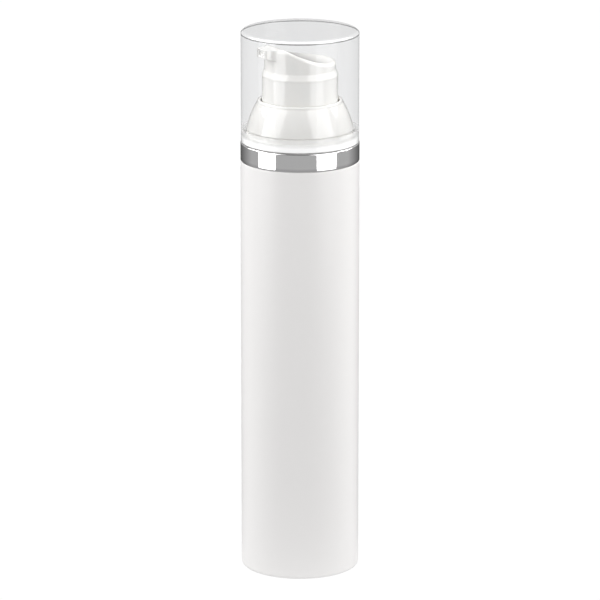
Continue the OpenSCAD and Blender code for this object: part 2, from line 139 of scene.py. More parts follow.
class Graph:
    """The node tree of one material or world."""

    def __init__(self, owner: Owner) -> None:
        """Empties the owner's node tree.

        Args:
            owner: a new material or world.
        """
        owner.use_nodes = True
        self.owner = owner
        self.tree = owner.node_tree
        self.tree.nodes.clear()

    def node(
        self,
        kind: str,
        settings: Optional[Mapping[str, Any]] = None,
        sockets: Optional[Mapping[Any, Any]] = None,
    ) -> bpy.types.Node:
        """Adds a node.

        Args:
            kind: the node's type.
            settings: its own properties, set before its sockets.
            sockets: a number, a colour, a socket or a Value for each input, by name or place.

        Returns:
            The node.
        """
        made = self.tree.nodes.new(kind)
        for name, value in (settings or {}).items():
            setattr(made, name, value)
        for name, value in (sockets or {}).items():
            if isinstance(value, Value):
                value = value.socket
            if isinstance(value, bpy.types.NodeSocket):
                self.tree.links.new(value, made.inputs[name])
            else:
                made.inputs[name].default_value = value
        return made

    def value(self, kind: str, output: Any, settings: Any = None, sockets: Any = None) -> Value:
        """Adds a node and returns one of its outputs, by name or place, as a Value."""
        return Value(self, self.node(kind, settings, sockets).outputs[output])

    def math(self, operation: str, first: Number, second: Number) -> Value:
        """Adds one Math node."""
        return self.value("ShaderNodeMath", 0, {"operation": operation}, {0: first, 1: second})

    def place(self, stretch: Sequence[float] = EVEN) -> Value:
        """Object coordinates, stretched along each axis."""
        spot = self.value("ShaderNodeTexCoord", "Object")
        return self.value("ShaderNodeMapping", 0, None, {"Vector": spot, "Scale": tuple(stretch)})

    def axes(self) -> tuple[Value, Value, Value]:
        """Object coordinates as three numbers, in millimetres."""
        return self.parts(self.place((1 / MM,) * 3))

    def parts(self, vector: Value) -> tuple[Value, Value, Value]:
        """The three numbers of a vector."""
        split = self.node("ShaderNodeSeparateXYZ", None, {0: vector})
        return tuple(Value(self, out) for out in split.outputs)

    def noise(self, scale: float, detail: float = 2.0, stretch: Sequence[float] = EVEN) -> Value:
        """Smooth noise from 0 to 1.

        Args:
            scale: how many features there are to a metre.
            detail: how many finer layers it has.
            stretch: how much faster it runs along each axis.

        Returns:
            The noise.
        """
        sockets = {"Vector": self.place(stretch), "Scale": scale, "Detail": detail}
        return self.value("ShaderNodeTexNoise", 0, None, sockets)

    def tones(self, factor: Number, low: Colour, high: Colour) -> Value:
        """A colour from low at 0 to high at 1."""
        sockets = {0: factor, 6: (*low, 1.0), 7: (*high, 1.0)}
        return self.value("ShaderNodeMix", 2, {"data_type": "RGBA"}, sockets)

    def bump(self, height: Number, depth: float, strength: float = 1.0) -> Value:
        """A normal that is tilted by a height from 0 to 1.

        Args:
            height: the height.
            depth: the depth of height 1, in millimetres.
            strength: the share of the tilt that shows.

        Returns:
            The normal.
        """
        sockets = {"Height": height, "Distance": depth * MM, "Strength": strength}
        return self.value("ShaderNodeBump", 0, None, sockets)

    def finish(self, shader: bpy.types.Node) -> Owner:
        """Joins a shader to the output.

        Args:
            shader: the node whose first output is the shader.

        Returns:
            The material or world.
        """
        kind = "World" if isinstance(self.owner, bpy.types.World) else "Material"
        self.node("ShaderNodeOutput" + kind, None, {"Surface": shader.outputs[0]})
        return self.owner

    def principled(self, sockets: Mapping[str, Any]) -> Owner:
        """Ends the tree in one Principled shader with these sockets."""
        return self.finish(self.node("ShaderNodeBsdfPrincipled", None, sockets))


def new_material(name: str) -> Graph:
    """The empty node tree of a new material."""
    return Graph(bpy.data.materials.new(name))


def shade_of(colour: Colour, share: float) -> Colour:
    """A colour scaled by a share."""
    return tuple(part * share for part in colour)


# ---- finishes ----


@dataclass(frozen=True)
class Moulded:
    """Moulded plastic: slight uneven tone, fine peel and a faint waviness in the gloss.

    Mottle is how much darker the tone gets, uneven how far the roughness strays, and peel and wave are
    depths in millimetres. Scatter is the share of light that spreads below the surface, over about
    reach millimetres.
    """

    name: str
    colour: Colour
    roughness: float
    mottle: float = 0.02
    uneven: float = 0.05
    peel: float = 0.0006
    wave: float = 0.004
    scatter: float = 0.0
    reach: float = 1.2
    shine: float = 0.5

    def make(self) -> bpy.types.Material:
        """Builds the material.

        Returns:
            The material.
        """
        g = new_material(self.name)
        tone = g.noise(70.0, detail=3.0) * 0.6 + g.noise(420.0) * 0.4
        rough = self.roughness + (g.noise(260.0, detail=4.0) - 0.5) * self.uneven
        height = g.noise(1900.0, detail=1.0) * self.peel + g.noise(95.0, detail=1.0) * self.wave
        sockets = {
            "Base Color": g.tones(tone, self.colour, shade_of(self.colour, 1 - self.mottle)),
            "Roughness": rough.clamped(),
            "Normal": g.bump(height, 1.0),
            "IOR": 1.5,
            "Subsurface Weight": self.scatter,
            "Subsurface Radius": (1.0, 0.95, 0.9),
            "Subsurface Scale": self.reach * MM,
            "Specular IOR Level": self.shine,
        }
        return g.principled(sockets)


@dataclass(frozen=True)
class ClearWall:
    """Clear hard plastic seen as one skin of a wall: it mirrors by angle and lets the rest through.

    A span is where a mask is 0 and where it is 1: a height or a distance from the axis in millimetres,
    or how far the surface is turned from the eye, from 0 to 1.
    """

    name: str
    tint: Colour
    head_on: float
    wall_graze: float
    top_graze: float
    # Weight of the painted dark line (painted shade) in the crease round the top.
    crease: float = 0.0
    # Weight of the painted highlight on the sloping top edge.
    painted_bevel_highlight: float = 0.0
    # Weight of the painted white (painted light) on the lower rim.
    rim: float = 0.0
    # Weight of the painted light over the wall's foot, where the collar's groove shows through.
    painted_glow: float = 0.0
    haze: float = 0.006
    # The first colour is the mirror's and also the white of the painted highlight and painted light; the
    # second is the colour of the painted shade.
    pale: Colour = (0.97, 0.97, 0.97)
    dark: Colour = (0.13, 0.13, 0.13)
    roughness: float = 0.04
    top_z: Span = (167.8, 167.85)
    crease_r: Span = (17.6, 17.7)
    crease_z: float = 167.0
    crease_half: float = 0.278
    bevel_r: Span = (17.15, 17.275)
    bevel_z: Span = (167.25, 167.333)
    bevel_turn: Span = (0.625, 0.0)
    rim_z: Span = (136.5, 135.1)
    rim_turn: Span = (0.55, 0.883)
    # How much painted shade the rim's ends get where they turn from the eye.
    rim_painted_shade: float = 0.4
    # Where the painted light on the wall's foot starts, and how far it turns the mirror off.
    painted_glow_z: Span = (138.2, 137.867)
    painted_glow_dull: float = 9.0

    def make(self) -> bpy.types.Material:
        """Builds the material.

        Its mirror share is head_on + graze * facing ** 5, where graze is less on the wall than on the
        top. The crease round the top gets a painted dark line, standing in for the light that the slope
        above it bends away. The slope and the lower rim are painted white where they are seen head-on: a
        painted highlight on the slope and painted light on the rim, whose ends get painted shade. The
        wall's foot, where the collar shows through it, gets painted light.

        Returns:
            The material.
        """
        g = new_material(self.name)
        facing = g.value("ShaderNodeLayerWeight", "Facing", None, {"Blend": 0.5})
        x, y, z = g.axes()
        out = (x * x + y * y) ** 0.5
        graze = self.wall_graze + (self.top_graze - self.wall_graze) * z.ramp(*self.top_z)
        # Painted shade: a dark line along the crease round the top, standing in for light that the slope
        # bends away.
        line = (1 - ((z - self.crease_z) / self.crease_half) ** 2).clamped()
        crease = line * out.ramp(*self.crease_r)
        # The sloping top edge, which gets a painted highlight where it faces the eye.
        slope = z.ramp(*self.bevel_z) * out.ramp(*self.bevel_r)
        # The lower rim, which gets painted white, and painted shade at its ends.
        foot = z.ramp(*self.rim_z)
        # Painted light over the wall's foot.
        painted_glow = z.ramp(*self.painted_glow_z) * self.painted_glow
        haze = g.noise(900.0, stretch=(1.0, 1.0, 0.15)) * self.haze
        share = self.head_on + facing**5 * graze + haze + painted_glow
        share = share + crease * self.crease + foot * self.rim
        share = share + slope * self.painted_bevel_highlight * facing.ramp(*self.bevel_turn)
        # Painted shade: the crease's dark line and the rim's ends.
        shadow = crease + foot * facing.ramp(*self.rim_turn) * self.rim_painted_shade
        sockets = {
            "Base Color": g.tones(shadow.clamped(), self.pale, self.dark),
            # The mirror is turned off where the painted shade, highlight and light go, so they show as
            # pale or dark paint.
            "Metallic": (1 - crease - slope - foot - painted_glow * self.painted_glow_dull).clamped(),
            "Roughness": self.roughness + g.noise(1400.0, detail=3.0) * 0.03,
        }
        clear = g.node("ShaderNodeBsdfTransparent", None, {"Color": (*self.tint, 1.0)})
        mirror = g.node("ShaderNodeBsdfPrincipled", None, sockets)
        both = {0: share.clamped(), 1: clear.outputs[0], 2: mirror.outputs[0]}
        return g.finish(g.node("ShaderNodeMixShader", None, both))


@dataclass(frozen=True)
class TurnedMetal:
    """Bright metal with faint turning lines round the axis, of the given depth in millimetres.

    Below the height lip_z it gets painted shade, which deepens over lip_h millimetres to its full share.
    """

    name: str
    colour: Colour
    roughness: float
    lines: float = 0.0006
    edge_tint: float = 1.0
    lip_z: float = 0.0
    lip_h: float = 1.25
    lip_painted_shade: float = 0.3

    def make(self) -> bpy.types.Material:
        """Builds the material.

        Returns:
            The material.
        """
        g = new_material(self.name)
        ring = g.noise(1.0, stretch=(30.0, 30.0, 9000.0))
        patch = g.noise(160.0, detail=3.0)
        # Painted shade below lip_z; the patches are random darker tone.
        lip = g.axes()[2].ramp(self.lip_z, self.lip_z - self.lip_h)
        shade = (lip * self.lip_painted_shade + patch * 0.03).clamped()
        sockets = {
            "Base Color": g.tones(shade, self.colour, shade_of(self.colour, 0.02)),
            "Metallic": 1.0,
            "Specular Tint": (self.edge_tint, self.edge_tint, self.edge_tint, 1.0),
            "Roughness": (self.roughness + (ring - 0.5) * 0.05 + (patch - 0.5) * 0.02).clamped(),
            "Normal": g.bump(ring, self.lines),
        }
        return g.principled(sockets)


@dataclass(frozen=True)
class DrawnWire:
    """Drawn steel wire: fine streaks run along it, by its UV map."""

    name: str
    colour: Colour

    def make(self) -> bpy.types.Material:
        """Builds the material.

        Returns:
            The material.
        """
        g = new_material(self.name)
        along = g.value("ShaderNodeTexCoord", "UV")
        spot = g.value("ShaderNodeMapping", 0, None, {"Vector": along, "Scale": (3.0, 26.0, 1.0)})
        streak = g.value("ShaderNodeTexNoise", 0, None, {"Vector": spot, "Scale": 4.0, "Detail": 4.0})
        sockets = {
            "Base Color": g.tones(streak, self.colour, shade_of(self.colour, 0.8)),
            "Metallic": 1.0,
            "Roughness": 0.2 + streak * 0.15,
            "Normal": g.bump(streak, 0.002),
        }
        return g.principled(sockets)


@dataclass(frozen=True)
class CellFoam:
    """Closed-cell foam sheet: pale, dull, with small cells."""

    name: str
    colour: Colour

    def make(self) -> bpy.types.Material:
        """Builds the material.

        Returns:
            The material.
        """
        g = new_material(self.name)
        cell = g.value("ShaderNodeTexVoronoi", "Distance", None, {"Vector": g.place(), "Scale": 2600.0})
        sockets = {
            "Base Color": g.tones(cell, shade_of(self.colour, 0.8), self.colour),
            "Roughness": (0.75 + cell * 0.2).clamped(),
            "Normal": g.bump(cell, 0.05),
        }
        return g.principled(sockets)


Finish = Union[Moulded, ClearWall, TurnedMetal, DrawnWire, CellFoam]

# The clear cap's skins: painted shade in the crease, a painted highlight on the slope, painted white on
# the lower rim and painted light on the wall's foot.
CLEAR = ClearWall(
    "clear_wall", (0.908, 0.909, 0.911), 0.012, 0.3, 0.62, crease=0.85, painted_bevel_highlight=0.9, rim=0.8, painted_glow=0.3
)
CLEAR_INSIDE = ClearWall("clear_inside", (1.0, 1.0, 1.0), 0.003, 0.02, 0.03, rim=0.25)
BODY_WHITE = Moulded("body_white", (0.77, 0.759, 0.753), 0.31, peel=0.0002, wave=0.001)
COLLAR_WHITE = Moulded(
    "collar_white", (0.838, 0.83, 0.808), 0.09, peel=0.0001, wave=0.001, scatter=0.15, shine=0.9
)
# The head and collar are one white plastic; the head's colour is the collar's made 8% paler, painted
# light that makes the head look brighter under the clear cap.
HEAD_WHITE_PAINTED_LIGHT = Moulded(
    "head_white_painted_light", (0.905, 0.896, 0.872), 0.13, peel=0.0001, wave=0.001, scatter=0.15, shine=0.9
)
NOZZLE_WHITE = Moulded("nozzle_white", (0.94, 0.935, 0.92), 0.35, peel=0.0001, wave=0.0)
# The ring's lowest 1.3 mm get painted shade.
SILVER = TurnedMetal("silver", (0.93, 0.925, 0.928), 0.06, edge_tint=0.9, lip_z=129.3)
NATURAL = Moulded("natural_plastic", (0.78, 0.79, 0.78), 0.32, mottle=0.05, scatter=0.35)
SOFT_WHITE = Moulded("soft_white", (0.82, 0.82, 0.80), 0.45, mottle=0.04, scatter=0.25)
FOAM = CellFoam("pale_foam", (0.74, 0.74, 0.72))
WIRE = DrawnWire("drawn_wire", (0.62, 0.61, 0.59))
BALL_STEEL = TurnedMetal("ball_steel", (0.66, 0.66, 0.67), 0.05, lines=0.0)


# ---- surfaces ----

STRAIGHT = math.radians(88)
LONG_RUN = 0.8
RUN_END = 0.25


def arc(centre: Sequence[float], radius: float, start: float, end: float, steps: int) -> np.ndarray:
    """Points at even angles on a circle: centre + radius * (cos a, sin a).

    Args:
        centre: the circle's centre.
        radius: its radius.
        start: the first angle, in degrees.
        end: the last angle, in degrees.
        steps: the number of spans.

    Returns:
        steps + 1 points.
    """
    a = np.radians(np.linspace(start, end, steps + 1))
    return np.asarray(centre) + radius * np.column_stack([np.cos(a), np.sin(a)])


def rounded(corners: Sequence[Corner], closed: bool = True, steps: int = 6) -> np.ndarray:
    """A profile through corners, each cut by an arc of its own radius that is tangent to both sides.

    The arc's ends lie radius / tan(half the corner's angle) from the corner, and a corner whose half
    angle is over STRAIGHT stays as it is. A run longer than LONG_RUN gets two more points, RUN_END or a
    quarter of it from its ends, so that the shading of a round edge stays on that edge.

    Args:
        corners: distance from the axis, height and radius of each corner.
        closed: whether the last corner joins the first.
        steps: the number of spans of an arc.

    Returns:
        The profile's points.
    """
    spots = np.array([c[:2] for c in corners], float)
    count = len(spots)
    pieces = []
    for i, (spot, radius) in enumerate(zip(spots, (c[2] for c in corners))):
        if radius <= 0 or (not closed and i in (0, count - 1)):
            pieces.append(spot[None])
            continue
        u = spots[i - 1] - spot
        v = spots[(i + 1) % count] - spot
        u, v = u / np.hypot(*u), v / np.hypot(*v)
        half = math.acos(float(np.clip(u @ v, -1, 1))) / 2
        if half > STRAIGHT:
            pieces.append(spot[None])
            continue
        bisector = (u + v) / np.hypot(*(u + v))
        centre = spot + bisector * radius / math.sin(half)
        first, last = spot + u * radius / math.tan(half), spot + v * radius / math.tan(half)
        start = math.atan2(*(first - centre)[::-1])
        turn = math.remainder(math.atan2(*(last - centre)[::-1]) - start, math.tau)
        pieces.append(arc(centre, radius, math.degrees(start), math.degrees(start + turn), steps))
    line = np.vstack(pieces)
    after = np.roll(line, -1, axis=0)
    length = np.hypot(*(after - line).T)
    if not closed:
        length[-1] = 0
    share = np.minimum(RUN_END, length / 4) / np.maximum(length, 1e-9)
    step = (after - line) * share[:, None]
    runs = np.stack([line, line + step, after - step], axis=1)
    keep = np.column_stack([length >= 0, length > LONG_RUN, length > LONG_RUN])
    return runs[keep]


def grid_quads(rows: int, columns: int, wrap_rows: bool, first: int = 0) -> np.ndarray:
    """Faces of a grid of points that is closed along its columns.

    Args:
        rows: the number of rows.
        columns: the number of points in a row.
        wrap_rows: whether the last row joins the first.
        first: the index of the grid's first point.

    Returns:
        Four point indices for each face.
    """
    r = np.arange(rows if wrap_rows else rows - 1)[:, None]
    c = np.arange(columns)[None]
    low, high = (r % rows) * columns, ((r + 1) % rows) * columns
    quads = np.stack([low + c, low + (c + 1) % columns, high + (c + 1) % columns, high + c], axis=-1)
    return quads.reshape(-1, 4) + first


def fan(centre: int, row: np.ndarray) -> np.ndarray:
    """Triangles from one point to a closed row of points."""
    return np.column_stack([np.full(len(row), centre), row, np.roll(row, -1)])


def solid_mesh(
    name: str,
    points: np.ndarray,
    quads: np.ndarray,
    tris: Optional[np.ndarray] = None,
    uv: Optional[np.ndarray] = None,
    crease: float = 40.0,
) -> bpy.types.Object:
    """Makes a closed mesh from points in millimetres, turned so that its faces point outwards.

    The faces are reversed where their signed volume, the sum of a . (b x c) / 6, is below zero.

    Args:
        name: the piece's name.
        points: the points.
        quads: four point indices for each face.
        tris: three point indices for each further face.
        uv: two texture coordinates for each point.
        crease: the angle in degrees above which an edge is sharp.

    Returns:
        The new object, linked to the scene.
    """
    tris = np.zeros((0, 3), int) if tris is None else tris
    halves = np.vstack([quads[:, [0, 1, 2]], quads[:, [0, 2, 3]], tris])
    a, b, c = (points[halves[:, k]] for k in range(3))
    if np.einsum("ij,ij->", a, np.cross(b, c)) < 0:
        quads, tris = quads[:, ::-1], tris[:, ::-1]
    corners = np.concatenate([quads.ravel(), tris.ravel()]).astype(np.int32)
    totals = np.concatenate([np.full(len(quads), 4), np.full(len(tris), 3)]).astype(np.int32)
    mesh = bpy.data.meshes.new(name)
    mesh.vertices.add(len(points))
    mesh.vertices.foreach_set("co", (points * MM).astype(np.float32).ravel())
    mesh.loops.add(len(corners))
    mesh.loops.foreach_set("vertex_index", corners)
    mesh.polygons.add(len(totals))
    mesh.polygons.foreach_set("loop_start", (np.cumsum(totals) - totals).astype(np.int32))
    mesh.polygons.foreach_set("use_smooth", np.ones(len(totals), bool))
    if uv is not None:
        layer = mesh.uv_layers.new(name="UVMap")
        layer.data.foreach_set("uv", uv[corners].astype(np.float32).ravel())
    mesh.update(calc_edges=True)
    mesh.validate()
    mesh.set_sharp_from_angle(angle=math.radians(crease))
    made = bpy.data.objects.new(name, mesh)
    bpy.context.scene.collection.objects.link(made)
    return made


def turned(name: str, profile: np.ndarray, closed: bool = True, columns: int = 256) -> bpy.types.Object:
    """A solid of revolution: (r, z) goes to (r cos a, r sin a, z) for even angles a.

    Args:
        name: the piece's name.
        profile: distance from the axis and height of each point. An open one starts and ends on the axis.
        closed: whether the profile is a loop.
        columns: the number of angles.

    Returns:
        The new object.
    """
    a = np.linspace(0, math.tau, columns, endpoint=False)
    body = profile if closed else profile[1:-1]
    r, z = body[:, :1], body[:, 1:]
    points = np.stack([r * np.cos(a), r * np.sin(a), z + 0 * a], axis=-1).reshape(-1, 3)
    quads = grid_quads(len(body), columns, closed)
    if closed:
        return solid_mesh(name, points, quads)
    ends = np.array([[0, 0, profile[0, 1]], [0, 0, profile[-1, 1]]])
    count, row = len(points), np.arange(columns)
    tris = np.vstack([fan(count, row)[:, ::-1], fan(count + 1, row + count - columns)])
    return solid_mesh(name, np.vstack([points, ends]), quads, tris)


def slot_loop(width: float, height: float, angle: np.ndarray) -> np.ndarray:
    """Points of a slot outline with round ends, at given angles round its centre.

    Along the direction (cos a, sin a) the outline is at height / (2 |sin a|) on its straight sides, and
    else where the ray meets the end's circle of radius height / 2 about (+-(width - height) / 2, 0).

    Args:
        width: the slot's full width.
        height: its full height.
        angle: the angles, in radians.

    Returns:
        Width and height of each point.
    """
    half, r = (width - height) / 2, height / 2
    c, s = np.abs(np.cos(angle)), np.sin(angle)
    flat = r / np.maximum(np.abs(s), 1e-9)
    end = half * c + np.sqrt(np.maximum(r * r - (half * s) ** 2, 0))
    reach = np.where(flat * c <= half, flat, end)
    return np.column_stack([reach * np.cos(angle), reach * s])


@cache
def material_of(finish: Finish) -> bpy.types.Material:
    """The material of a finish, made once."""
    return finish.make()


def dress(piece: bpy.types.Object, finish: Finish, body: Body, node: str) -> None:
    """Gives a piece its finish and body, and hides the CAD node that it replaces.

    Args:
        piece: the new object.
        finish: its finish.
        body: the body it rides on.
        node: the CAD node it stands for.
    """
    piece.data.materials.append(material_of(finish))
    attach(piece, body.value)
    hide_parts(node)
    log.info("piece %s on %s, %d faces", piece.name, body.value, len(piece.data.polygons))


# ---- sub-assemblies ----


@dataclass
class Bottle:
    """The barrel with its neck, and the silver trim ring."""

    body_r: float = 18.0
    body_h: float = 128.0
    bore_r: float = 16.8
    roof_z: float = 126.0
    foot_round: float = 1.0
    neck_r: float = 13.4
    neck_bore_r: float = 11.8
    neck_top: float = 135.5
    bead_r: float = 13.85
    bead_z: float = 132.0
    bead_t: float = 1.2
    groove_r: float = 17.05
    groove_low: float = 3.35
    groove_high: float = 4.25
    ring_in_r: float = 16.0
    ring_h: float = 5.6

    def barrel(self) -> bpy.types.Object:
        """Turns the barrel from its section.

        Returns:
            The barrel.
        """
        bead_top = self.bead_z + self.bead_t
        section = rounded(
            [
                (self.bore_r, 0, 0.08),
                (self.body_r, 0, self.foot_round),
                (self.body_r, self.body_h, 0.3),
                (self.neck_r, self.body_h, 0.15),
                (self.neck_r, self.bead_z, 0.08),
                (self.bead_r, self.bead_z, 0.15),
                (self.bead_r, bead_top, 0.2),
                (self.neck_r, bead_top, 0.08),
                (self.neck_r, self.neck_top, 0.2),
                (self.neck_bore_r, self.neck_top, 0.2),
                (self.neck_bore_r, self.roof_z, 0.15),
                (self.bore_r, self.roof_z, 0.5),
                (self.bore_r, self.groove_high, 0.05),
                (self.groove_r, self.groove_high, 0.05),
                (self.groove_r, self.groove_low, 0.05),
                (self.bore_r, self.groove_low, 0.05),
            ]
        )
        return turned("barrel", section)

    def ring(self) -> bpy.types.Object:
        """Turns the trim ring, with its outer edges eased.

        Returns:
            The ring.
        """
        low, high = self.body_h, self.body_h + self.ring_h
        section = rounded(
            [
                (self.ring_in_r, low, 0.1),
                (self.body_r, low, 0.28),
                (self.body_r, high, 0.28),
                (self.ring_in_r, high, 0.1),
            ]
        )
        return turned("ring", section)

    def build(self) -> None:
        """Makes and dresses the pieces."""
        dress(self.barrel(), BODY_WHITE, Body.BOTTLE, "bottle_body")
        dress(self.ring(), SILVER, Body.BOTTLE, "trim_ring")


@dataclass
class Collar:
    """The domed collar that guides the pump head and holds the cap."""

    skirt_in_r: float = 14.95
    skirt_r: float = 15.95
    hook_r: float = 14.35
    hook_z: float = 128.3
    hook_top: float = 129.2
    flange_z: float = 133.6
    flange_r: float = 16.45
    flange_top: float = 136.2
    groove_r: float = 15.75
    dome_z: float = 137.8
    dome_r: float = 16.2
    arc_r: float = 26.0
    arc_x: float = -9.2477
    arc_z: float = 132.4697
    wall: float = 1.2
    guide_in_r: float = 11.8
    guide_r: float = 12.9
    guide_low: float = 144.4
    lip_z: float = 146.25
    lip_r: float = 0.55
    shoulder: float = 0.35

    def section(self) -> np.ndarray:
        """The collar's section: skirt, hook, flange, groove, domed shell between two arcs, guide wall.

        Returns:
            Distance from the axis and height of each point.
        """
        centre = (self.arc_x, self.arc_z)
        inner = self.arc_r - self.wall

        def angle(radius: float, out: float) -> float:
            """The angle at which an arc of that radius is that far from the axis."""
            return math.degrees(math.acos((out - self.arc_x) / radius))

        def angle_at(radius: float, height: float) -> float:
            """The angle at which an arc of that radius is at that height."""
            return math.degrees(math.asin((height - self.arc_z) / radius))

        low = rounded(
            [
                (self.skirt_in_r, self.hook_top, 0.1),
                (self.hook_r, self.hook_top, 0.1),
                (self.hook_r, self.hook_z, 0.1),
                (self.skirt_r, self.hook_z, 0.1),
                (self.skirt_r, self.flange_z, 0.05),
                (self.flange_r, self.flange_z, 0.1),
                (self.flange_r, self.flange_top, 0.25),
                (self.groove_r, self.flange_top, 0.1),
                (self.groove_r, self.dome_z, 0.1),
                (self.dome_r, self.dome_z, 0.12),
                (self.dome_r - 0.03, self.dome_z + 0.2, 0),
            ],
            closed=False,
        )
        dome_low = angle_at(self.arc_r, self.dome_z + self.shoulder)
        dome = arc(centre, self.arc_r, dome_low, angle(self.arc_r, self.guide_r + 0.05), 28)
        lip = arc((self.guide_in_r + self.lip_r, self.lip_z), self.lip_r, 0, 180, 12)
        ceiling_r = self.arc_x + inner * math.cos(math.radians(angle_at(inner, self.guide_low)))
        under = rounded(
            [
                (self.guide_in_r, self.guide_low + 0.6, 0),
                (self.guide_in_r, self.guide_low, 0.1),
                (ceiling_r, self.guide_low, 0),
            ],
            closed=False,
        )
        hollow_top = angle_at(inner, self.guide_low - 0.1)
        hollow = arc(centre, inner, hollow_top, angle_at(inner, self.dome_z), 20)
        end = np.array([[self.skirt_in_r, self.dome_z - 0.1]])
        return np.vstack([low, dome, lip, under, hollow, end])

    def build(self) -> None:
        """Makes and dresses the collar."""
        collar = turned("collar", self.section())
        dress(collar, COLLAR_WHITE, Body.BOTTLE, "collar_dome")


@dataclass
class Overcap:
    """The clear straight cap with its sloping top edge and the snap bead inside."""

    r: float = 17.85
    in_r: float = 16.55
    low: float = 133.9
    top: float = 168.0
    roof: float = 166.6
    edge_w: float = 1.4
    edge_h: float = 0.8
    edge_r: float = 1.625
    edge_end: float = 31.0
    inner_round: float = 1.2
    bead_x: float = 16.85
    bead_z: float = 137.0
    bead_r: float = 0.6
    bead_half: float = 0.52

    def section(self) -> np.ndarray:
        """The cap's section from the axis over the outside and back inside to the axis.

        Returns:
            Distance from the axis and height of each point.
        """
        slope = arc((self.r - self.edge_w, self.top - self.edge_r), self.edge_r, 90, self.edge_end, 10)
        outside = rounded(
            [
                (self.r, self.top - self.edge_h - 0.1, 0),
                (self.r, self.low, 0.25),
                (self.in_r, self.low, 0.2),
                (self.in_r, self.bead_z - self.bead_half, 0),
            ],
            closed=False,
        )
        half = math.degrees(math.acos((self.bead_x - self.in_r) / self.bead_r))
        bead = arc((self.bead_x, self.bead_z), self.bead_r, 180 + half, 180 - half, 10)
        inside = rounded(
            [
                (self.in_r, self.bead_z + self.bead_half + 0.02, 0),
                (self.in_r, self.roof, self.inner_round),
                (0, self.roof, 0),
            ],
            closed=False,
            steps=10,
        )
        flat = np.column_stack([np.linspace(0, self.r - self.edge_w - 0.1, 8), np.full(8, self.top)])
        return np.vstack([flat, slope, outside, bead, inside])

    def build(self) -> None:
        """Makes the cap and dresses its outer and inner skins."""
        cap = turned("cap", self.section(), closed=False)
        dress(cap, CLEAR, Body.CAP, "overcap")
        cap.data.materials.append(material_of(CLEAR_INSIDE))
        middle = np.zeros(len(cap.data.polygons) * 3, np.float32)
        cap.data.polygons.foreach_get("center", middle)
        x, y, z = middle.reshape(-1, 3).T / MM
        within = np.hypot(x, y) < (self.r + self.in_r) / 2
        inside = within & (z > self.low + 0.1) & (z < self.roof + 0.1)
        cap.data.polygons.foreach_set("material_index", inside.astype(np.int32))


@dataclass(frozen=True)
class Plan:
    """The head's outline, one entry for each column of its grid, from the back by -X to the spout and on.

    Spot is (x, u), with u towards the spout, and normal points outwards. Circle is the column's
    direction on the plain circle, and spout is how much it belongs to the spout, from 0 to 1. Edge is
    the round of the top edge, and brim is the height where that round starts.
    """

    spot: np.ndarray
    normal: np.ndarray
    circle: np.ndarray
    spout: np.ndarray
    edge: np.ndarray
    brim: np.ndarray


# A row of the head's grid: its points as (x, u), and their heights.
Row = tuple[np.ndarray, Any]


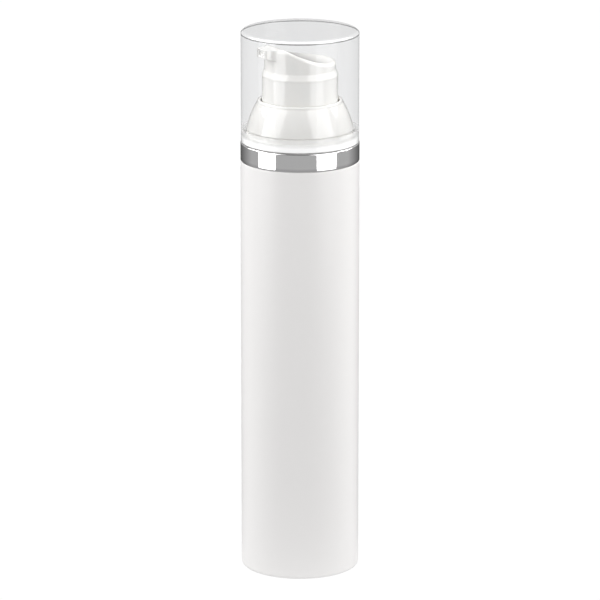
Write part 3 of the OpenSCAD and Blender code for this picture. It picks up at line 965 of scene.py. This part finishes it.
@dataclass
class PumpHead:
    """The press-down head with its hollowed finger rest, flare and short spout, and the nozzle insert.

    The counts of columns are for one side of the plan: along the spout's end, its corner, its side, the
    round at its root and the head's circle.
    """

    skirt_r: float = 11.45
    skirt_z: float = 144.8
    flare_z: float = 154.0
    crest_r: float = 11.5
    flare_top: float = 156.2
    flare_run: float = 0.7
    head_r: float = 10.8
    wall: float = 1.1
    spout_top: float = 163.4
    scoop_r: float = 30.0
    scoop_back: float = 8.0
    scoop_z: float = 188.6
    crest_round: float = 2.0
    spout_reach: float = 13.6
    spout_w: float = 5.2
    spout_corner: float = 0.8
    root_round: float = 2.2
    under_z: float = 159.8
    under_u: float = 10.25
    under_round: float = 0.14
    spout_low: float = 160.7
    edge: float = 1.15
    spout_edge: float = 0.12
    outlet_z: float = 162.05
    pocket_w: float = 3.9
    pocket_h: float = 2.2
    pocket_depth: float = 2.6
    insert_set: float = 0.15
    outlet_w: float = 3.0
    outlet_h: float = 1.3
    recess: float = 0.55
    bore_w: float = 0.42
    bore_h: float = 0.4
    spout_turns: tuple[float, float, float] = (9.4, 12.2, 13.9)
    end_columns: int = 9
    bend_columns: int = 9
    side_columns: int = 10
    root_columns: int = 7
    round_columns: int = 77
    face_columns: int = 12

    def rest_height(self, u: np.ndarray, drop: float = 0.0) -> np.ndarray:
        """Height of the finger rest at a distance u towards the spout, lowered by drop along its normal.

        It is an arc of radius scoop_r about (-scoop_back, scoop_z), then an arc of radius crest_round
        that touches it and the level top, and then the level top. On an arc the height is
        centre_z -+ sqrt(radius^2 - (u - centre_u)^2).

        Args:
            u: the distances.
            drop: how far it is lowered.

        Returns:
            The heights.
        """
        crest_z = self.spout_top - self.crest_round
        join = self.scoop_r + self.crest_round
        crest_u = -self.scoop_back + math.sqrt(join**2 - (self.scoop_z - crest_z) ** 2)
        touch = -self.scoop_back + (crest_u + self.scoop_back) * (self.scoop_r + drop) / join
        big, small = self.scoop_r + drop, self.crest_round - drop
        hollow = self.scoop_z - np.sqrt(np.maximum(big**2 - (u + self.scoop_back) ** 2, 0))
        crest = crest_z + np.sqrt(np.maximum(small**2 - (u - crest_u) ** 2, 0))
        return np.where(u <= touch, hollow, np.where(u <= crest_u, crest, self.spout_top - drop))

    def under_height(self, u: np.ndarray) -> np.ndarray:
        """Height of the spout's sloping underside: a line from the head out to the end."""
        slope = (self.spout_low - self.under_z) / (self.spout_reach - self.under_u)
        return self.under_z + (u - self.under_u) * slope

    def plan(self) -> Plan:
        """The head's outline: one side is worked out from the spout's middle to the back, then mirrored.

        Its runs are the spout's end, the end's corner, the spout's side, the hollow round at its root
        and the head's circle. Spout_turns are the plain circle's angles where the first three end.

        Returns:
            The outline, all round.
        """
        half, corner, root_r = self.spout_w / 2, self.spout_corner, self.root_round
        root_u = math.sqrt((self.head_r + root_r) ** 2 - (half + root_r) ** 2)
        t = np.linspace(0, 1, self.end_columns + 1)[:-1]
        end = np.column_stack([t * (half - corner), np.full(len(t), self.spout_reach)])
        middle = np.array([half - corner, self.spout_reach - corner])
        bend = arc(middle, corner, 90, 0, self.bend_columns - 1)
        s = np.linspace(0, 1, self.side_columns + 2)[1:-1]
        side_u = self.spout_reach - corner + s * (root_u - self.spout_reach + corner)
        side = np.column_stack([np.full(len(s), half), side_u])
        centre = np.array([half + root_r, root_u])
        meet = math.degrees(math.atan2(-root_u, -(half + root_r))) % 360
        root = arc(centre, root_r, 180, meet, self.root_columns - 1)
        start = math.atan2(half + root_r, root_u)
        a = np.linspace(start, math.pi, self.round_columns + 1)[1:]
        back = np.column_stack([np.sin(a), np.cos(a)])
        first, second, third = np.radians(self.spout_turns)
        spot = np.vstack([end, bend, side, root, back * self.head_r])
        ahead, aside = 0 * end + [0, 1], 0 * side + [1, 0]
        normal = np.vstack([ahead, (bend - middle) / corner, aside, (centre - root) / root_r, back])
        angle = np.concatenate(
            [
                t * first,
                np.linspace(first, second, len(bend)),
                second + s * (third - second),
                np.linspace(third, start, len(root)),
                a,
            ]
        )
        own = len(end) + len(bend) + len(side)
        spout = np.concatenate([np.ones(own), np.linspace(1, 0, len(root)), np.zeros(len(a))])

        def both(line: np.ndarray, mirror: Any) -> np.ndarray:
            """One side's entries, mirrored, then as they are, without the first and last ones twice."""
            return np.concatenate([(line * mirror)[:0:-1], line[:-1]])

        flip = np.array([-1.0, 1.0])
        spot, angle, spout = both(spot, flip), both(angle, -1.0), both(spout, 1.0)
        edge = self.edge + (self.spout_edge - self.edge) * spout**0.5
        circle = np.column_stack([np.sin(angle), np.cos(angle)])
        brim = self.rest_height(spot[:, 1]) - edge
        return Plan(spot, both(normal, flip), circle, spout, edge, brim)

    def inside_rows(self, plan: Plan) -> Iterator[Row]:
        """The ceiling from its middle, the wall, the skirt's foot and the outside up past the flare.

        Each row is the plain circle times a radius. The ceiling is the finger rest lowered by the wall.

        Args:
            plan: the head's outline.

        Returns:
            Each row's points as (x, u) and its heights.
        """
        within = self.head_r - self.wall
        for r in np.linspace(0, within, 22)[1:]:
            yield plan.circle * r, self.rest_height(plan.circle[:, 1] * r, self.wall)
        section = [
            (within, self.flare_top + 0.6, 0),
            (within, self.flare_top, 0.3),
            (self.crest_r - self.wall, self.flare_z + 0.5, 0.2),
            (self.skirt_r - self.wall, self.flare_z, 0.1),
            (self.skirt_r - self.wall, self.skirt_z, 0.2),
            (self.skirt_r, self.skirt_z, 0.3),
            (self.skirt_r, self.flare_z - 0.02, 0.1),
            (self.crest_r, self.flare_z + 0.05, 0.1),
            (self.crest_r, self.flare_z + 0.5, 0.3),
            (self.head_r, self.flare_top, 0.9),
            (self.head_r, self.flare_top + self.flare_run, 0),
        ]
        for r, z in rounded(section, closed=False):
            yield plan.circle * r, z

    def under_rows(self, plan: Plan) -> Iterator[Row]:
        """Up the wall, out under the spout and round its lower edge.

        A height is (1 - s) * (a share of the wall's rise to the brim) + s * (the spout's underside),
        where s is how much the column belongs to the spout.

        Args:
            plan: the head's outline.

        Returns:
            Each row's points as (x, u) and its heights.
        """
        circle = plan.circle * self.head_r
        base = self.flare_top + self.flare_run

        def mixed(share: float, low: np.ndarray) -> np.ndarray:
            """The wall's height at a share of its rise, blended with the spout's."""
            return (1 - plan.spout) * (base + share * (plan.brim - base)) + plan.spout * low

        for share, drop in ((0.12, 1.4), (0.3, 0.7), (0.42, 0.25), (0.48, 0.06)):
            yield circle, mixed(share, self.under_height(circle[:, 1]) - drop)
        inwards = plan.normal * self.under_round
        for share, out in ((0.5, 0.04), (0.52, 0.3), (0.54, 0.6), (0.56, 0.85)):
            spot = circle + (plan.spot - inwards * plan.spout[:, None] - circle) * out
            yield spot, mixed(share, self.under_height(spot[:, 1]))
        for share, turn in zip((0.58, 0.6, 0.62, 0.64), np.radians([0, 30, 60, 90])):
            spot = plan.spot - inwards * (1 - math.sin(turn)) * plan.spout[:, None]
            low = self.under_height(plan.spot[:, 1]) + self.under_round * (1 - math.cos(turn))
            yield spot, mixed(share, low)

    def face_rows(self, plan: Plan, foot: np.ndarray) -> Iterator[Row]:
        """Straight up from the heights of the foot towards the brim."""
        for share in (0.12, 0.3, 0.5, 0.7, 0.88, 0.97):
            yield plan.spot, foot + share * (plan.brim - foot)

    def top_rows(self, plan: Plan) -> Iterator[Row]:
        """A quarter turn round the top edge, then across the finger rest to its middle.

        Args:
            plan: the head's outline.

        Returns:
            Each row's points as (x, u) and its heights.
        """
        for turn in np.radians(np.linspace(0, 90, 7)):
            spot = plan.spot - plan.normal * (plan.edge * (1 - math.cos(turn)))[:, None]
            yield spot, self.rest_height(spot[:, 1]) - plan.edge * (1 - math.sin(turn))
        inset = plan.spot - plan.normal * plan.edge[:, None]
        for share in np.linspace(0, 1, 74)[1:-1]:
            yield inset * (1 - share), self.rest_height(inset[:, 1] * (1 - share))

    def pocket(self, rim: np.ndarray) -> list[np.ndarray]:
        """Slot outlines from the spout's face to the floor of the nozzle's pocket.

        The first two follow the spout's rounded corners back by c - sqrt(c^2 - over^2), where over is
        how far a point is past the flat of the face.

        Args:
            rim: the points round the face.

        Returns:
            The outlines, each with a point at the bearing of every rim point.
        """
        bearing = np.arctan2(rim[:, 2] - self.outlet_z, rim[:, 0])
        corner = self.spout_corner
        loops = []
        stations = ((0.1, 0.0, 1), (0.02, 0.05, 1), (0.0, 0.2, 0), (0.0, self.pocket_depth, 0))
        for grow, depth, follow in stations:
            x, z = slot_loop(self.pocket_w + grow, self.pocket_h + grow, bearing).T
            over = np.maximum(np.abs(x) - (self.spout_w / 2 - corner), 0)
            back = corner - np.sqrt(corner**2 - over**2)
            y = -self.spout_reach + depth + back * follow
            loops.append(np.column_stack([x, y, self.outlet_z + z]))
        return loops

    def shell(self) -> bpy.types.Object:
        """The head's closed shell.

        Each column runs from the middle of the hollow's ceiling down its wall, round the skirt's foot,
        up the outside, out under the spout where there is one, over the edge and across the finger
        rest. The spout's end face is left out of the grid and closed by rings that run into the
        nozzle's pocket.

        Returns:
            The head.
        """
        plan = self.plan()
        columns = len(plan.spout)
        rows = [*self.inside_rows(plan), *self.under_rows(plan)]
        low = len(rows) - 1
        rows += self.face_rows(plan, rows[-1][1])
        high = len(rows)
        rows += self.top_rows(plan)
        heights = np.concatenate([np.broadcast_to(z, columns) for _, z in rows])
        points = np.column_stack([np.vstack([spot * (1, -1) for spot, _ in rows]), heights])
        left, right = columns // 2 - self.face_columns, columns // 2 + self.face_columns
        quads = grid_quads(len(rows), columns, False)
        row_of, column_of = np.divmod(quads[:, 0], columns)
        face = (row_of >= low) & (row_of < high) & (column_of >= left) & (column_of < right)
        across, up = np.arange(left, right), np.arange(low, high)
        rim = np.concatenate(
            [
                low * columns + across,
                up * columns + right,
                high * columns + across[::-1] + 1,
                up[::-1] * columns + columns + left,
            ]
        )
        loops = self.pocket(points[rim])
        first = len(points) + len(rim) * np.arange(len(loops))
        rings = [rim, *(start + np.arange(len(rim)) for start in first)]
        pairs = zip(rings, rings[1:])
        sides = [np.column_stack([near, np.roll(near, -1), np.roll(far, -1), far]) for near, far in pairs]
        after = first[-1] + len(rim)
        middle = np.zeros(1)
        ends = [
            [0, self.pocket_depth - self.spout_reach, self.outlet_z],
            [0, 0, self.rest_height(middle, self.wall)[0]],
            [0, 0, self.rest_height(middle)[0]],
        ]
        row = np.arange(columns)
        tris = [
            fan(after, rings[-1])[:, ::-1],
            fan(after + 1, row)[:, ::-1],
            fan(after + 2, row + (len(rows) - 1) * columns),
        ]
        quads = np.vstack([quads[~face], *sides])
        return solid_mesh("head", np.vstack([points, *loops, ends]), quads, np.vstack(tris))

    def insert(self) -> bpy.types.Object:
        """The nozzle insert: a slot-shaped plug with a recess, as slot outlines carried along the spout.

        Behind the recess the bore narrows, so that it looks less dark, as in the photograph.

        Returns:
            The insert.
        """
        bearing = np.linspace(0, math.tau, 64, endpoint=False)
        back, front = self.spout_reach - self.pocket_depth, self.spout_reach - self.insert_set
        floor = front - self.recess
        w, h = self.pocket_w - 0.1, self.pocket_h - 0.1
        bore = self.outlet_h - 0.1
        stations = (
            (w, h, back + 0.05),
            (w, h, front - 0.08),
            (w - 0.04, h - 0.04, front - 0.02),
            (w - 0.1, h - 0.1, front),
            (self.outlet_w + 0.44, self.outlet_h + 0.44, front),
            (self.outlet_w + 0.2, self.outlet_h + 0.2, front - 0.07),
            (self.outlet_w, self.outlet_h, front - 0.25),
            (self.outlet_w, self.outlet_h, floor),
            (bore + 0.02, bore, floor),
            (self.bore_w, self.bore_h, floor - 0.4),
            (self.bore_w, self.bore_h, back + 0.05),
        )
        loops = []
        for width, height, u in stations:
            x, z = slot_loop(width, height, bearing).T
            loops.append(np.column_stack([x, 0 * x - u, self.outlet_z + z]))
        return solid_mesh("insert", np.vstack(loops), grid_quads(len(loops), 64, True), crease=50.0)

    def build(self) -> None:
        """Makes and dresses the head and its insert."""
        dress(self.shell(), HEAD_WHITE_PAINTED_LIGHT, Body.HEAD, "actuator_head")
        dress(self.insert(), NOZZLE_WHITE, Body.HEAD, "nozzle_insert")


@dataclass
class ReturnSpring:
    """The steel spring between the stem's guide and the head's core."""

    r: float = 3.9
    wire: float = 0.8
    turns: float = 7.5
    low: float = 136.6
    height: float = 13.2
    end_close: float = 0.25
    pressed_length: float = 8.5
    free_length: float = 14.0
    along: int = 421
    around: int = 14

    def tube(self) -> bpy.types.Object:
        """The wire as a tube along a helix.

        The centre line at a share t is (r cos a, r sin a, z) with a = 2 pi turns t and
        z = low + height (t - end_close sin(2 pi t) / 2 pi). The wire's circle stands square to the turn.

        Returns:
            The spring.
        """
        t = np.linspace(0, 1, self.along)[:, None]
        b = np.linspace(0, math.tau, self.around, endpoint=False)[None]
        a = math.tau * self.turns * t
        out = self.r + self.wire / 2 * np.cos(b)
        rise = self.height * (t - self.end_close * np.sin(math.tau * t) / math.tau)
        z = self.low + rise + self.wire / 2 * np.sin(b)
        tube = np.stack([out * np.cos(a), out * np.sin(a), z], axis=-1).reshape(-1, 3)
        uv = np.stack(np.broadcast_arrays(t * self.turns, b / math.tau), axis=-1).reshape(-1, 2)
        ends = [tube[: self.around].mean(axis=0), tube[-self.around :].mean(axis=0)]
        row, count = np.arange(self.around), len(tube)
        tris = np.vstack([fan(count, row)[:, ::-1], fan(count + 1, row + count - self.around)])
        uv = np.vstack([uv, [[0, 0.5], [self.turns, 0.5]]])
        quads = grid_quads(self.along, self.around, False)
        return solid_mesh("spring", np.vstack([tube, ends]), quads, tris, uv)

    def build(self) -> None:
        """Makes the spring and gives it a mesh of its own."""
        spring = self.tube()
        dress(spring, WIRE, Body.BOTTLE, "return_spring")
        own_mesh(spring)


# ---- stage ----


@dataclass(frozen=True)
class Softbox:
    """A rectangular soft light that faces the object.

    Azimuth counts from the camera and elevation from the floor, in degrees. Distance is from the point
    that it faces, in metres, as are width and height. Glow is how bright it looks, and mirrored is
    whether glossy surfaces show it.
    """

    name: str
    azimuth: float
    elevation: float
    distance: float
    width: float
    height: float
    glow: float
    mirrored: bool = True


SOFTBOXES = (
    Softbox("left_box", -67.0, 22.0, 0.44, 0.356, 0.62, 2.6),
    Softbox("right_box", 53.0, 22.0, 0.44, 0.386, 0.62, 2.5),
    Softbox("right_strip", 100.0, 10.0, 0.6, 0.03, 0.6, 1.2),
    Softbox("left_rear", -112.0, 38.0, 0.6, 0.3, 0.3, 6.8),
    Softbox("right_rear", 114.0, 38.0, 0.6, 0.3, 0.3, 6.8),
    Softbox("top", 0.0, 84.0, 0.7, 0.3, 0.3, 5.2, mirrored=False),
)


@dataclass
class Studio:
    """Pale floor, soft studio light and the camera.

    Floor and surroundings look white to the camera. As light, the floor is brightest round the bottle's
    foot on the camera's side and dark far behind the bottle, and the surroundings are brighter behind
    the bottle but not near the horizon. A span is where its mask is 0 and where it is 1: millimetres
    from the axis on the floor, the cosine of the angle from the camera's side for a sector, and the
    sine of the elevation.
    """

    target: Vector = Vector((0.0, 0.0, 0.08387))
    distance: float = 1.4
    azimuth: float = 60.0
    elevation: float = 15.1
    lens: float = 275.3
    sensor: float = 36.0
    lit_point: Vector = Vector((0.0, 0.0, 0.1))
    white: float = 1.02
    floor_size: float = 6.0
    floor_glow: float = 0.42
    near: Span = (320.0, 120.0)
    near_glow: float = 0.25
    foot: Span = (70.0, 20.0)
    foot_sector: Span = (0.267, 0.933)
    foot_glow: float = 0.3
    floor_back: Span = (-0.28, -1.0)
    floor_dark: float = 0.33
    room: float = 0.2
    room_back: Span = (0.321, -0.393)
    room_glow: float = 0.45
    horizon: Span = (0.18, 0.09)
    horizon_dark: float = 0.4

    def towards(self, azimuth: float, elevation: float) -> Vector:
        """The unit direction at an azimuth from the camera and an elevation, in degrees."""
        a, e = math.radians(self.azimuth + azimuth), math.radians(elevation)
        return Vector((math.sin(a) * math.cos(e), -math.cos(a) * math.cos(e), math.sin(e)))

    def place(self, data: Any, point: Vector, way: Vector, distance: float) -> bpy.types.Object:
        """Adds a camera or light at a distance from a point, turned to face it.

        Args:
            data: the camera's or light's data.
            point: the point that it faces.
            way: the direction from the point to it.
            distance: how far it is from the point, in metres.

        Returns:
            The new object.
        """
        made = bpy.data.objects.new(data.name, data)
        made.location = point + way * distance
        made.rotation_euler = (-way).to_track_quat("-Z", "Y").to_euler()
        bpy.context.scene.collection.objects.link(made)
        return made

    def camera(self) -> None:
        """Sets the camera at the photograph's viewing angle."""
        data = bpy.data.cameras.new("camera")
        data.lens, data.sensor_width = self.lens, self.sensor
        data.clip_start, data.clip_end = 0.05, 50.0
        way = self.towards(0.0, self.elevation)
        bpy.context.scene.camera = self.place(data, self.target, way, self.distance)

    def light(self, box: Softbox) -> None:
        """Adds one soft light, whose power is glow * pi * its area.

        Args:
            box: the light's place, size and glow.
        """
        data = bpy.data.lights.new(box.name, "AREA")
        data.shape, data.size, data.size_y = "RECTANGLE", box.width, box.height
        data.energy = box.glow * math.pi * box.width * box.height
        way = self.towards(box.azimuth, box.elevation)
        made = self.place(data, self.lit_point, way, box.distance)
        made.visible_camera = False
        made.visible_glossy = box.mirrored

    def seen_white(self, g: Graph, glow: Value) -> Value:
        """White for the camera, and the given glow for all that it lights or is mirrored in."""
        seen = g.value("ShaderNodeLightPath", "Is Camera Ray")
        return seen * self.white + (1 - seen) * glow

    def facing(self, x: Value, y: Value) -> Value:
        """How far a level vector points to the camera's side: its dot product with that direction."""
        front = self.towards(0.0, 0.0)
        return x * front.x + y * front.y

    def floor(self) -> None:
        """Adds the pale floor."""
        size = self.floor_size
        corners = [(-size, -size, 0), (size, -size, 0), (size, size, 0), (-size, size, 0)]
        mesh = bpy.data.meshes.new("floor")
        mesh.from_pydata(corners, [], [(0, 1, 2, 3)])
        made = bpy.data.objects.new("floor", mesh)
        bpy.context.scene.collection.objects.link(made)
        g = new_material("pale_floor")
        x, y, _ = g.axes()
        away = (x * x + y * y) ** 0.5
        cosine = self.facing(x, y) / (away + 1.0)
        back = cosine.ramp(*self.floor_back)
        near = away.ramp(*self.near) * (1 - back)
        foot = away.ramp(*self.foot) * cosine.ramp(*self.foot_sector)
        glow = self.floor_glow + near * self.near_glow + foot * self.foot_glow - back * self.floor_dark
        strength = self.seen_white(g, glow)
        mesh.materials.append(g.finish(g.node("ShaderNodeEmission", None, {"Strength": strength})))

    def sky(self) -> None:
        """Sets the surroundings."""
        world = bpy.data.worlds.new("sky")
        bpy.context.scene.world = world
        g = Graph(world)
        x, y, z = g.parts(g.value("ShaderNodeTexCoord", "Generated"))
        behind = self.facing(x, y).ramp(*self.room_back)
        low = z.ramp(*self.horizon)
        strength = self.seen_white(g, self.room + behind * (self.room_glow - low * self.horizon_dark))
        g.finish(g.node("ShaderNodeBackground", None, {"Strength": strength}))

    def build(self) -> None:
        """Sets up the whole stage."""
        bpy.context.scene.view_settings.view_transform = "Standard"
        self.camera()
        self.floor()
        self.sky()
        for box in SOFTBOXES:
            self.light(box)


def main() -> None:
    """Builds the stage and every sub-assembly in order."""
    logging.basicConfig(level=logging.INFO, format="%(name)s: %(message)s")
    Studio().build()
    for assembly in (Bottle(), Collar(), Overcap(), PumpHead(), ReturnSpring()):
        assembly.build()
    finishes = {
        "base_plug": SOFT_WHITE,
        "follower_piston": SOFT_WHITE,
        "snap_closure": NATURAL,
        "neck_gasket": FOAM,
        "stem_guide": NATURAL,
        "pump_stem": NATURAL,
        "stem_plug": NATURAL,
        "pump_piston": SOFT_WHITE,
        "pump_housing": NATURAL,
        "ball_cage": NATURAL,
        "inlet_ball": BALL_STEEL,
        "actuator_core": NATURAL,
    }
    for node, finish in finishes.items():
        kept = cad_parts[node]
        for place in kept.material_slots:
            place.material = material_of(finish)
        log.info("kept %s with %s", node, finish.name)


if __name__ == "__main__":
    main()
